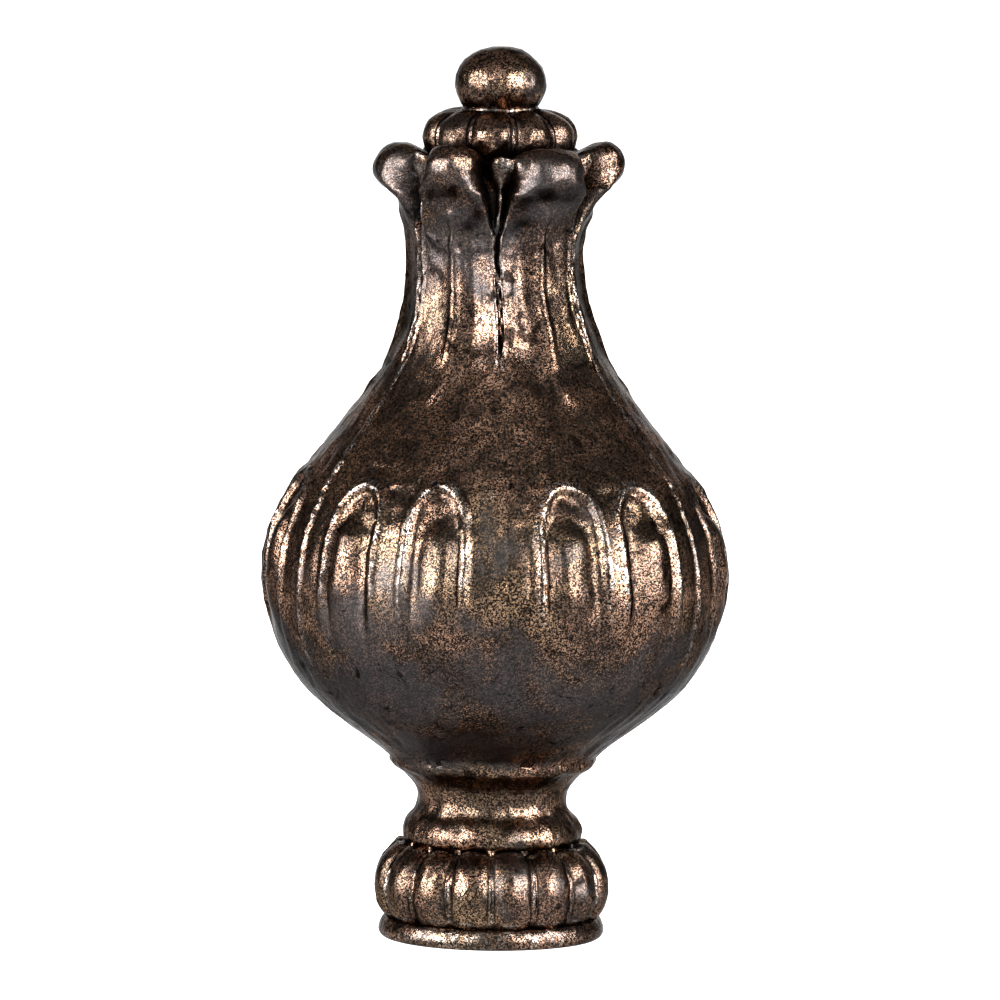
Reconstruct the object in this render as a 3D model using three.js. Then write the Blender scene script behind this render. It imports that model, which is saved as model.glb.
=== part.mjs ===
// A small cast metal finial: a gadrooned foot, a cove, an onion-shaped body wrapped in six leaves with
// twelve arched lobes round its belly, a crown of rolled leaf tips, a lobed collar and a ball on top.
// It is one casting, so one closed skin runs from the bottom of the screw hole to the top of the ball.

import * as THREE from "three";

// Lengths are millimetres above the foot's underside or out from the axis, which is Z.
// Angles are degrees round the axis from the front, which faces -Y, towards +X.

// Screw hole in the underside, bored to the outer diameter of a quarter-inch stud
const BORE_RADIUS = 3.25;
const BORE_DEPTH = 9.5;
const BORE_POINT = 1.3;
const BORE_CHAMFER = 0.5;

// Foot rim and the ring of gadroons on it
const FOOT_RADIUS = 8.05;
const FOOT_EDGE = 0.5;
const RIM_HEIGHT = 1.5;
const GADROONS = 16;
const GADROON_RADIUS = 8.5;
const GADROON_LEVEL = 3.75;
const GADROON_TOP = 6.9;
const GADROON_CREASE = 0.5;
const CREASE_SINK = 0.3;

// Ring, cove and flange between the foot and the body
const RING_RADIUS = 6.42;
const RING_LEVEL = 7.55;
const COVE_RADIUS = 5.3;
const COVE_LEVEL = 9.95;
const COVE_START = { radius: 5.72, level: 8.9 };
const COVE_END = { radius: 6.85, level: 12.1 };
const FLANGE_RADIUS = 7.36;
const FLANGE_LEVEL = 12.75;

// Body, from the flange over the belly to the waist of the neck, with the reach of its curves' handles
const BODY_BOTTOM = 12.95;
const BODY_SPREAD = { radius: 3.6, level: 2.35 };
const BELLY_RADIUS = 16.5;
const BELLY_LEVEL = 25.45;
const BELLY_REACH_DOWN = 6.8;
const BELLY_REACH_UP = 9.4;
const WAIST_RADIUS = 6.34;
const WAIST_LEVEL = 48.4;
const WAIST_REACH = 11.2;

// Leaves: each face has a midrib, a trough either side of it and a roll before the seam to the next leaf
const LEAVES = 6;
const LEAF_TURN = 32;
const TROUGH_ANGLE = 7;
const ROLL_ANGLE = 21;
const SEAM_ANGLE = 24;
const MIDRIB_DIP = 0.08;
const TROUGH_DEPTH = 0.45;
const SEAM_DEPTH = 0.5;
const SHOULDER_SEAM = 0.15;
const LEAF_CARVING = { start: 37.5, full: 43, fading: 49.5, end: 52.5 };

// Arched lobes on the belly, a pair under each leaf, each one framed by a raised rim
const ARCH_ANGLE = 12.6;
const ARCH_HALF_WIDTH = 8.3;
const ARCH_SPRING = 30.9;
const ARCH_TOP = 33.5;
const ARCH_FOOT = 17;
const ARCH_FADE = 6;
const ARCH_RIM = 0.28;
const ARCH_VALLEY = 0.38;
const ARCH_LOBE = 0.3;
const VALLEY_SHARE = 0.78;
const OUTSIDE_SHARE = 1.26;

// Crown of leaf tips, every other one broader and lower than its neighbours
const CROWN_LEVEL = 50.3;
const CROWN_RADIUS = 6.42;
const LEAF_HALF_WIDTH = 28.5;
const TIP_NECK = { radius: 8.4, level: 53.5 };
const TIP_RADIUS = 8.93;
const TIP_LEVEL = 55;
const TIP_TOP = { radius: 7.2, level: 56.75 };
const TIP_HALF_WIDTH = 19;
const TIP_WANDER = 2.2;
const TIP_SINK = 0.2;
const GAP_RADIUS = 5.85;
const GAP_TOP = 54.2;
const CUP_RADIUS = 5.1;
const CUP_LEVEL = 55.6;

// Lobed collar and the ball on it
const COLLAR_LOBES = 10;
const COLLAR_TURN = 29;
const COLLAR_RADIUS = 5.58;
const COLLAR_LEVEL = 57.2;
const COLLAR_TOP = 59.1;
const COLLAR_CREASE = 0.6;
const BALL_RADIUS = 3.25;
const BALL_LEVEL = 60.85;
const BALL_SEAT = 2.65;
const HEIGHT = 63.5;

const LEAF_PITCH = 360 / LEAVES;
const HALF_LEAF = LEAF_PITCH / 2;

// How far a rounded corner's curve is pulled towards the corner, and how square a lobe's cross-section is
const CORNER_PULL = 0.57;
const LOBE_POWER = 2.4;

const { clamp, degToRad, euclideanModulo, lerp, smoothstep } = THREE.MathUtils;

/** Moves smoothly from one value to another while x goes from start to end. */
function ease(from, to, x, start, end) {
  return lerp(from, to, smoothstep(x, start, end));
}

/** Evenly stepped values after start, up to and including end. */
function steps(start, end, count) {
  return Array.from({ length: count }, (_, step) => lerp(start, end, (step + 1) / count));
}

/** How far a turn lies from the middle of the nearest of some equal sectors, in degrees. */
function fromMiddle(turn, first, pitch) {
  return Math.abs(euclideanModulo(turn - first + pitch / 2, pitch) - pitch / 2);
}

/** A profile of rounded corners: each stretch leaves towards a corner and arrives from it. */
function roundedProfile(start, stretches) {
  const path = new THREE.Path().moveTo(...start);
  for (const [corner, end] of stretches) {
    const leave = path.currentPoint.clone().lerp(new THREE.Vector2(...corner), CORNER_PULL);
    const arrive = new THREE.Vector2(...end).lerp(new THREE.Vector2(...corner), CORNER_PULL);
    path.bezierCurveTo(leave.x, leave.y, arrive.x, arrive.y, ...end);
  }
  return path;
}

/** The turns of a ring, from the offsets that half a sector needs, mirrored and repeated round the axis. */
function turnsOf(sectors, first, halfOffsets) {
  const mirrored = halfOffsets.slice(1, -1).map((offset) => -offset);
  const turns = [];
  for (let sector = 0; sector < sectors; sector += 1) {
    const middle = first + (360 / sectors) * sector;
    turns.push(...[...halfOffsets, ...mirrored].map((offset) => euclideanModulo(middle + offset, 360)));
  }
  return turns.sort((a, b) => a - b);
}

/** A ring of points at a radius and level that may change with the turn. */
function ring(turns, radiusAt, levelAt) {
  return turns.map((turn) => ({ turn, radius: radiusAt(turn), level: levelAt(turn) }));
}

/** A point on the axis, which closes the skin at one end. */
function pole(level) {
  return [{ turn: 0, radius: 0, level }];
}

/** Plain round rings along a profile of (radius, level) points. */
function roundRings(points, count) {
  const turns = steps(0, 360, count).map((turn) => turn % 360).sort((a, b) => a - b);
  return points.map((point) => ring(turns, () => point.x, () => point.y));
}

/** Rings between two profiles: share(turn, step) says how far each point goes from the inner to the outer. */
function blendedRings(outer, inner, turns, share) {
  return outer.map((outerPoint, step) => {
    const innerPoint = inner[step];
    return ring(
      turns,
      (turn) => lerp(innerPoint.x, outerPoint.x, share(turn, step)),
      (turn) => lerp(innerPoint.y, outerPoint.y, share(turn, step)),
    );
  });
}

/** Rings of equal round lobes, between the profile of their crests and that of the creases between them. */
function lobedRings(crest, crease, lobes, first, rows) {
  const halfLobe = 180 / lobes;
  const turns = turnsOf(lobes, first, [0, 0.5 * halfLobe, 0.85 * halfLobe, halfLobe]);
  const share = (turn) => 1 - (fromMiddle(turn, first, 2 * halfLobe) / halfLobe) ** LOBE_POWER;
  return blendedRings(crest.getPoints(rows), crease.getPoints(rows), turns, share);
}

/** Joins rings, each with its own turns, into one closed skin. */
function skin(rings) {
  const positions = [];
  const faces = [];
  const firstIndex = [];
  for (const points of rings) {
    firstIndex.push(positions.length / 3);
    for (const { turn, radius, level } of points) {
      const angle = degToRad(turn);
      positions.push(radius * Math.sin(angle), -radius * Math.cos(angle), level);
    }
  }
  const nextTurn = (points, step) => {
    if (points.length === 1) return Infinity;
    return step + 1 < points.length ? points[step + 1].turn : points[0].turn + 360;
  };
  for (let row = 0; row + 1 < rings.length; row += 1) {
    const [lower, upper] = [rings[row], rings[row + 1]];
    const lowerAt = (step) => firstIndex[row] + (step % lower.length);
    const upperAt = (step) => firstIndex[row + 1] + (step % upper.length);
    const lowerEnd = lower.length === 1 ? 0 : lower.length;
    const upperEnd = upper.length === 1 ? 0 : upper.length;
    let [low, up] = [0, 0];
    while (low < lowerEnd || up < upperEnd) {
      const lowFirst = nextTurn(lower, low) <= nextTurn(upper, up);
      if (up >= upperEnd || (low < lowerEnd && lowFirst)) {
        faces.push(lowerAt(low), lowerAt(low + 1), upperAt(up));
        low += 1;
      } else {
        faces.push(lowerAt(low), upperAt(up + 1), upperAt(up));
        up += 1;
      }
    }
  }
  const geometry = new THREE.BufferGeometry();
  geometry.setAttribute("position", new THREE.Float32BufferAttribute(positions, 3));
  geometry.setIndex(faces);
  geometry.computeVertexNormals();
  return geometry;
}

/** The screw hole, from its drilled point down to its chamfered mouth. */
function boreRings() {
  const wall = [
    new THREE.Vector2(BORE_RADIUS, BORE_DEPTH),
    new THREE.Vector2(BORE_RADIUS, BORE_CHAMFER),
    new THREE.Vector2(BORE_RADIUS + BORE_CHAMFER, 0),
  ];
  return [pole(BORE_DEPTH + BORE_POINT), ...roundRings(wall, 24)];
}

/** The rounded rim that the finial stands on. */
function rimRings() {
  const sole = FOOT_RADIUS - FOOT_EDGE;
  const edge = roundedProfile([sole, 0], [
    [[FOOT_RADIUS, 0], [FOOT_RADIUS, RIM_HEIGHT / 2]],
    [[FOOT_RADIUS, RIM_HEIGHT], [sole, RIM_HEIGHT]],
  ]);
  return roundRings(edge.getPoints(2), 48);
}

/** Round lobes over the rim: the creases between them follow a smaller, lower profile than the crests. */
function gadroonRings() {
  const lobeProfile = (widest, start, end, top) => roundedProfile([start, RIM_HEIGHT], [
    [[widest, RIM_HEIGHT + 0.6], [widest, GADROON_LEVEL]],
    [[widest, top - 0.65], [end, top]],
  ]);
  const sole = FOOT_RADIUS - FOOT_EDGE;
  const crest = lobeProfile(GADROON_RADIUS, sole, RING_RADIUS, GADROON_TOP);
  const crease = lobeProfile(
    GADROON_RADIUS - GADROON_CREASE,
    sole - CREASE_SINK,
    RING_RADIUS - CREASE_SINK,
    GADROON_TOP - CREASE_SINK,
  );
  return lobedRings(crest, crease, GADROONS, 180 / GADROONS, 3);
}

/** The half-round ring, the cove above it and the flange under the body. */
function coveRings() {
  const path = roundedProfile([RING_RADIUS - CREASE_SINK, GADROON_TOP], [
    [[RING_RADIUS, GADROON_TOP], [RING_RADIUS, RING_LEVEL]],
    [[RING_RADIUS, RING_LEVEL + 0.75], [COVE_START.radius, COVE_START.level]],
    [[COVE_RADIUS, COVE_LEVEL - 0.6], [COVE_RADIUS, COVE_LEVEL]],
    [[COVE_RADIUS, COVE_END.level - 0.85], [COVE_END.radius, COVE_END.level]],
    [[FLANGE_RADIUS, COVE_END.level + 0.3], [FLANGE_RADIUS, FLANGE_LEVEL]],
  ]);
  return roundRings(path.getPoints(2), 36);
}

/** Radius of the plain body under its carving, at a level between the flange and the crown. */
const bodyRadius = (() => {
  const points = new THREE.Path()
    .moveTo(FLANGE_RADIUS, BODY_BOTTOM)
    .bezierCurveTo(
      FLANGE_RADIUS + BODY_SPREAD.radius, BODY_BOTTOM + BODY_SPREAD.level,
      BELLY_RADIUS, BELLY_LEVEL - BELLY_REACH_DOWN,
      BELLY_RADIUS, BELLY_LEVEL,
    )
    .bezierCurveTo(
      BELLY_RADIUS, BELLY_LEVEL + BELLY_REACH_UP,
      WAIST_RADIUS, WAIST_LEVEL - WAIST_REACH,
      WAIST_RADIUS, WAIST_LEVEL,
    )
    .lineTo(CROWN_RADIUS, CROWN_LEVEL)
    .getPoints(100);
  return (level) => {
    const above = Math.max(1, points.findIndex((point) => point.y >= level));
    const [low, high] = [points[above - 1], points[above]];
    return lerp(low.x, high.x, clamp((level - low.y) / (high.y - low.y), 0, 1));
  };
})();

/** How deep the face of a leaf lies under its rolls, by the angle from its midrib. */
function leafDepth(offset, level) {
  const { start, full, fading, end } = LEAF_CARVING;
  const carved = smoothstep(level, start, full) * (1 - smoothstep(level, fading, end));
  const seam = lerp(SHOULDER_SEAM, SEAM_DEPTH, carved) * smoothstep(level, ARCH_FOOT, BELLY_LEVEL);
  if (offset > ROLL_ANGLE) return ease(0, seam, offset, SEAM_ANGLE, HALF_LEAF);
  if (offset > TROUGH_ANGLE) return carved * ease(TROUGH_DEPTH, 0, offset, TROUGH_ANGLE, ROLL_ANGLE);
  return carved * ease(MIDRIB_DIP, TROUGH_DEPTH, offset, 0, TROUGH_ANGLE);
}

/** Height of the arched lobes over the plain body: rim, valley inside it, and the lobe. */
function archHeight(offset, level) {
  const across = (offset - ARCH_ANGLE) / ARCH_HALF_WIDTH;
  const rise = Math.max(0, (level - ARCH_SPRING) / (ARCH_TOP - ARCH_SPRING));
  const fromCentre = Math.hypot(across, rise);
  const fade = smoothstep(level, ARCH_FOOT, ARCH_FOOT + ARCH_FADE);
  if (fromCentre > 1) return fade * ease(ARCH_RIM, 0, fromCentre, 1, OUTSIDE_SHARE);
  if (fromCentre > VALLEY_SHARE) return fade * ease(-ARCH_VALLEY, ARCH_RIM, fromCentre, VALLEY_SHARE, 1);
  return fade * lerp(ARCH_LOBE, -ARCH_VALLEY, (fromCentre / VALLEY_SHARE) ** 3);
}

/** Rings of the carved body at some levels. */
function carvedRings(levels, halfOffsets) {
  const turns = turnsOf(LEAVES, LEAF_TURN, halfOffsets);
  return levels.map((level) => {
    const radiusAt = (turn) => {
      const offset = fromMiddle(turn, LEAF_TURN, LEAF_PITCH);
      return bodyRadius(level) + archHeight(offset, level) - leafDepth(offset, level);
    };
    return ring(turns, radiusAt, () => level);
  });
}

/** The leafed body, from the flange to just under the crown. */
function bodyRings() {
  const archShares = [-OUTSIDE_SHARE, -1, -VALLEY_SHARE, -0.4, 0, 0.4, VALLEY_SHARE, 1, OUTSIDE_SHARE];
  const bellyOffsets = [0, ...archShares.map((share) => ARCH_ANGLE + share * ARCH_HALF_WIDTH), HALF_LEAF];
  const neckOffsets = [0, 3, TROUGH_ANGLE, 14, ROLL_ANGLE, 27, HALF_LEAF];
  const lowLevels = [BODY_BOTTOM, ...steps(BODY_BOTTOM, ARCH_FOOT - 1, 2)];
  const archLevels = [...steps(ARCH_FOOT - 1, ARCH_SPRING, 6), ...steps(ARCH_SPRING, ARCH_TOP + 0.6, 5)];
  const neckLevels = [...steps(ARCH_TOP + 1.5, 41, 3), ...steps(41, LEAF_CARVING.fading, 4)];
  return [
    ...carvedRings(lowLevels, [0, 10, 20, HALF_LEAF]),
    ...carvedRings(archLevels, bellyOffsets),
    ...carvedRings(neckLevels, neckOffsets),
  ];
}

/** The crown: leaf tips that roll out and over, with gaps between them down to the core. */
function crownRings() {
  const tip = roundedProfile([CROWN_RADIUS, CROWN_LEVEL], [
    [[CROWN_RADIUS + 0.2, TIP_NECK.level - 2.2], [TIP_NECK.radius, TIP_NECK.level]],
    [[TIP_RADIUS, TIP_NECK.level + 0.8], [TIP_RADIUS, TIP_LEVEL]],
    [[TIP_RADIUS, TIP_TOP.level], [TIP_TOP.radius, TIP_TOP.level]],
    [[CUP_RADIUS + 0.7, TIP_TOP.level], [CUP_RADIUS, CUP_LEVEL]],
  ]);
  const gap = new THREE.Path()
    .moveTo(CROWN_RADIUS - SEAM_DEPTH, CROWN_LEVEL)
    .lineTo(GAP_RADIUS, TIP_NECK.level)
    .lineTo(GAP_RADIUS, GAP_TOP)
    .lineTo(CUP_RADIUS + 0.3, CUP_LEVEL - 0.4)
    .lineTo(CUP_RADIUS, CUP_LEVEL);
  const rows = 3;
  const tipPoints = tip.curves.flatMap((curve) => curve.getPoints(rows).slice(0, -1));
  const gapPoints = gap.curves.flatMap((line) => line.getPoints(rows).slice(0, -1));
  const broad = (turn) => (Math.round((turn - LEAF_TURN) / LEAF_PITCH) % 2 === 0 ? 1 : -1);
  const share = (turn, step) => {
    const tipWidth = TIP_HALF_WIDTH + TIP_WANDER * broad(turn);
    const halfWidth = ease(LEAF_HALF_WIDTH, tipWidth, step, 0, 2 * rows);
    const roundness = ease(5, 2, step, 0, 2 * rows);
    const across = Math.min(1, fromMiddle(turn, LEAF_TURN, LEAF_PITCH) / halfWidth);
    return (1 - across ** roundness) ** (1 / roundness);
  };
  const turns = turnsOf(LEAVES, LEAF_TURN, [0, 6, 11.5, 15.5, 19, 22, 26, HALF_LEAF]);
  return blendedRings(tipPoints, gapPoints, turns, share).map((points) => points.map((point) => {
    const offset = fromMiddle(point.turn, LEAF_TURN, LEAF_PITCH);
    const dip = offset < ROLL_ANGLE ? leafDepth(offset, point.level) : 0;
    const sink = TIP_SINK * broad(point.turn) * smoothstep(point.radius, GAP_RADIUS, TIP_RADIUS);
    return { ...point, radius: point.radius - dip, level: point.level - sink };
  }));
}

/** The collar of round lobes over the cup of leaf tips. */
function collarRings() {
  const lobeProfile = (start, widest, top) => roundedProfile([start, CUP_LEVEL], [
    [[widest, CUP_LEVEL + 0.7], [widest, COLLAR_LEVEL]],
    [[widest, top], [BALL_SEAT + 0.2, top]],
  ]);
  const crest = lobeProfile(CUP_RADIUS - 0.25, COLLAR_RADIUS, COLLAR_TOP);
  const crease = lobeProfile(CUP_RADIUS - 0.5, COLLAR_RADIUS - COLLAR_CREASE, COLLAR_TOP - 0.15);
  return lobedRings(crest, crease, COLLAR_LOBES, COLLAR_TURN, 3);
}

/** The ball, a little flattened on top. */
function ballRings() {
  const path = roundedProfile([BALL_SEAT, COLLAR_TOP + 0.05], [
    [[BALL_RADIUS, COLLAR_TOP + 0.9], [BALL_RADIUS, BALL_LEVEL]],
    [[BALL_RADIUS, HEIGHT], [0, HEIGHT]],
  ]);
  return [...roundRings(path.getPoints(3).slice(0, -1), 32), pole(HEIGHT)];
}

const bronze = new THREE.MeshStandardMaterial({ color: 0x4a382c, roughness: 0.4, metalness: 0.9 });

const finial = new THREE.Mesh(
  skin([
    ...boreRings(),
    ...rimRings(),
    ...gadroonRings(),
    ...coveRings(),
    ...bodyRings(),
    ...crownRings(),
    ...collarRings(),
    ...ballRings(),
  ]),
  bronze,
);
finial.name = "finial";

const part = new THREE.Group();
part.add(finial);

export default part;
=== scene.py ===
"""A small cast metal finial in dark antique bronze, standing on a pale studio floor.

The casting is one closed skin, from the bottom of its screw hole over the foot, cove, leafed body, crown and
collar to the top of the ball. Lengths in the classes are millimetres and angles are degrees; an angle round
the axis counts from the front, which faces -Y, towards +X.
"""
import logging
import math
from collections.abc import Mapping, Sequence
from dataclasses import dataclass, fields
from enum import Enum
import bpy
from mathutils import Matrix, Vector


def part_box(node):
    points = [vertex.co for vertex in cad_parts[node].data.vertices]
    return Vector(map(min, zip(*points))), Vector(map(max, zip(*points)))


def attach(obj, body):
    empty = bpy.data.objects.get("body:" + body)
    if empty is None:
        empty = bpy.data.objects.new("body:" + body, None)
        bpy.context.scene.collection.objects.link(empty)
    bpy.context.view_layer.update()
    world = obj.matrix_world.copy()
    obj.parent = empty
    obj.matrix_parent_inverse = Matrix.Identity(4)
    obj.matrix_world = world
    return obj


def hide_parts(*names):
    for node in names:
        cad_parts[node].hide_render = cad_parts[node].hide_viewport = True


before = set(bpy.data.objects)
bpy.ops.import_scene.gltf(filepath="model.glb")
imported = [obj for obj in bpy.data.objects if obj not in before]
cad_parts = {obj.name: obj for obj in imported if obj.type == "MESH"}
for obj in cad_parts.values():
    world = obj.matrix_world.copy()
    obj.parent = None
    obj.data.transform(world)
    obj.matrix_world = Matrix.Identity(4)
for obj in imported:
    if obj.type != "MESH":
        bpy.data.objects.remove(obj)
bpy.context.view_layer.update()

from types import SimpleNamespace
from typing import Any, NamedTuple, Union

import bpy
from mathutils import Quaternion, Vector

NODE = "finial"
BODY = "root"
MILLIMETRE = 0.001
FULL_TURN = 360.0
CREST = "crest"

log = logging.getLogger("finial")


# Numbers that vary over a surface

class Field:
    """A number that varies over a surface: an output socket of a node tree, with arithmetic."""

    def __init__(self, tree: bpy.types.NodeTree, socket: bpy.types.NodeSocket) -> None:
        """Keeps the tree and the socket that gives the number."""
        self.tree = tree
        self.socket = socket

    def __add__(self, other: "Number") -> "Field":
        """This number plus another."""
        return calculate("ADD", self, other)

    def __sub__(self, other: "Number") -> "Field":
        """This number less another."""
        return calculate("SUBTRACT", self, other)

    def __rsub__(self, other: "Number") -> "Field":
        """Another number less this one."""
        return calculate("SUBTRACT", other, self)

    def __mul__(self, other: "Number") -> "Field":
        """This number times another."""
        return calculate("MULTIPLY", self, other)

    def __truediv__(self, other: "Number") -> "Field":
        """This number over another."""
        return calculate("DIVIDE", self, other)

    def __rtruediv__(self, other: "Number") -> "Field":
        """Another number over this one."""
        return calculate("DIVIDE", other, self)

    def __pow__(self, other: "Number") -> "Field":
        """This number to the power of another."""
        return calculate("POWER", self, other)

    __radd__ = __add__
    __rmul__ = __mul__


Number = Union[Field, float]
Point = tuple[Number, Number]
Colour = tuple[float, float, float, float]


def plug(tree: bpy.types.NodeTree, socket: bpy.types.NodeSocket, value: Any) -> None:
    """Feeds an input socket from a field or another socket, or sets it to a plain value.

    Args:
        tree: The tree that holds the socket.
        socket: The input to feed.
        value: A field, an output socket, or a value that the socket takes.
    """
    if isinstance(value, Field):
        tree.links.new(value.socket, socket)
    elif isinstance(value, bpy.types.NodeSocket):
        tree.links.new(value, socket)
    else:
        socket.default_value = value


def add_node(
    tree: bpy.types.NodeTree, kind: str, inputs: Mapping[Any, Any], **options: Any
) -> bpy.types.Node:
    """Adds a node to a tree.

    Args:
        tree: The tree to add to.
        kind: The node's type name.
        inputs: What to feed each input, by the input's name or place.
        **options: The node's own settings, set before its inputs are fed.

    Returns:
        The new node.
    """
    node = tree.nodes.new(kind)
    for name, value in options.items():
        setattr(node, name, value)
    for place, value in inputs.items():
        plug(tree, node.inputs[place], value)
    return node


def calculate(operation: str, *operands: Number) -> Field:
    """Adds a Math node.

    Args:
        operation: The Math node's operation.
        *operands: Its operands, of which one at least is a field.

    Returns:
        The result.
    """
    tree = next(operand.tree for operand in operands if isinstance(operand, Field))
    node = add_node(tree, "ShaderNodeMath", dict(enumerate(operands)), operation=operation)
    return Field(tree, node.outputs[0])


def blend(start: Number, end: Number, share: Number) -> Field:
    """Goes from start to end while share goes from 0 to 1."""
    return calculate("MULTIPLY_ADD", share, end - start, start)


def map_range(x: Field, start: Number, end: Number, low: Number, high: Number, shape: str) -> Field:
    """Goes from low to high while x goes from start to end, and stays there outside.

    Args:
        x: The number that is followed.
        start: Where the change starts.
        end: Where it is complete.
        low: The value before start.
        high: The value after end.
        shape: LINEAR or SMOOTHSTEP.

    Returns:
        The value between low and high.
    """
    inputs = {"Value": x, "From Min": start, "From Max": end, "To Min": low, "To Max": high}
    node = add_node(x.tree, "ShaderNodeMapRange", inputs, interpolation_type=shape)
    return Field(x.tree, node.outputs[0])


def ease(low: Number, high: Number, x: Field, start: Number, end: Number) -> Field:
    """Moves smoothly from low to high while x goes from start to end."""
    return map_range(x, start, end, low, high, "SMOOTHSTEP")


def ramp(x: Field, start: Number, end: Number) -> Field:
    """Moves evenly from 0 to 1 while x goes from start to end."""
    return map_range(x, start, end, 0.0, 1.0, "LINEAR")


def bump(x: Field, middle: Number, reach: Number) -> Field:
    """A smooth hump of height 1 where x is at the middle, which dies out at the reach on both sides."""
    return ease(1.0, 0.0, calculate("ABSOLUTE", x - middle), 0.0, reach)


def from_middle(turn: Field, first: Number, pitch: Number) -> Field:
    """How far a turn lies from the middle of the nearest of some equal sectors."""
    return calculate("PINGPONG", turn - first, pitch / 2)


def choose(row: Field, start: Number, before: Sequence[Field], after: Sequence[Field]) -> list[Field]:
    """Takes one set of numbers for the rows before a start, and another from there on.

    Args:
        row: The row of a point.
        start: The first row of the second set.
        before: The numbers up to there.
        after: The numbers from there on.

    Returns:
        The numbers that hold for the row.
    """
    reached = calculate("GREATER_THAN", row, start - 0.5)
    return [blend(old, new, reached) for old, new in zip(before, after)]


def pace(row: Field, first: float, stops: Sequence[tuple[int, float]]) -> Field:
    """The share of the way along a curve, by stops of so many rows up to such a share.

    Args:
        row: The row.
        first: The row that the curve starts at.
        stops: The rows and the share reached of each stop.

    Returns:
        The share at the row.
    """
    reached = 0.0
    share: Number = 0.0
    for rows, end in stops:
        share = ramp(row, first, first + rows) * (end - reached) + share
        first += rows
        reached = end
    return share


class GroupTree:
    """A Geometry Nodes tree that serves as a group in other trees, with named inputs and outputs."""

    def __init__(self, name: str, outputs: Mapping[str, str]) -> None:
        """Makes an empty tree.

        Args:
            name: The tree's name.
            outputs: The name and the socket type of each output.
        """
        self.tree = bpy.data.node_groups.new(name, "GeometryNodeTree")
        for title, kind in outputs.items():
            self.tree.interface.new_socket(title, in_out="OUTPUT", socket_type=kind)
        self.given = self.tree.nodes.new("NodeGroupInput")
        self.result = self.tree.nodes.new("NodeGroupOutput")

    def input(self, title: str, kind: str = "NodeSocketFloat", panel: Any = None) -> Field:
        """Adds a named input.

        Args:
            title: The input's name.
            kind: Its socket type.
            panel: The panel that it is shown in, if any.

        Returns:
            What is fed to it.
        """
        self.tree.interface.new_socket(title, in_out="INPUT", socket_type=kind, parent=panel)
        return Field(self.tree, self.given.outputs[title])

    def give(self, values: Mapping[str, Any]) -> None:
        """Feeds the outputs by name."""
        for title, value in values.items():
            plug(self.tree, self.result.inputs[title], value)

    def used_in(self, tree: bpy.types.NodeTree, inputs: Mapping[str, Any]) -> list[Field]:
        """Places the group in another tree.

        Args:
            tree: The tree that uses it.
            inputs: What to feed its inputs, by name.

        Returns:
            Its outputs in order.
        """
        node = tree.nodes.new("GeometryNodeGroup")
        node.node_tree = self.tree
        for title, value in inputs.items():
            plug(tree, node.inputs[title], value)
        return [Field(tree, output) for output in node.outputs]


def point_at(radius: Number, level: Number, tree: bpy.types.NodeTree) -> Field:
    """A point of a profile as a vector of radius and level."""
    return Field(tree, add_node(tree, "ShaderNodeCombineXYZ", {"X": radius, "Y": level}).outputs[0])


def radius_and_level(point: Field) -> list[Field]:
    """The radius and the level of a point of a profile."""
    node = add_node(point.tree, "ShaderNodeSeparateXYZ", {0: point})
    return [Field(point.tree, output) for output in node.outputs[:2]]


def vector_math(operation: str, *operands: Any) -> Field:
    """Adds a Vector Math node.

    Args:
        operation: The node's operation.
        *operands: Its operands, of which the first is a field.

    Returns:
        The result.
    """
    tree = operands[0].tree
    node = add_node(tree, "ShaderNodeVectorMath", dict(enumerate(operands)), operation=operation)
    return Field(tree, node.outputs[0])


def scaled(vector: Field, factor: Number) -> Field:
    """A vector times a number."""
    node = add_node(vector.tree, "ShaderNodeVectorMath", {0: vector, "Scale": factor}, operation="SCALE")
    return Field(vector.tree, node.outputs[0])


def mix_points(start: Field, end: Field, share: Number) -> Field:
    """The point at a share of the way between two points."""
    node = add_node(start.tree, "ShaderNodeMix", {0: share, 4: start, 5: end}, data_type="VECTOR")
    return Field(start.tree, node.outputs[1])


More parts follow.
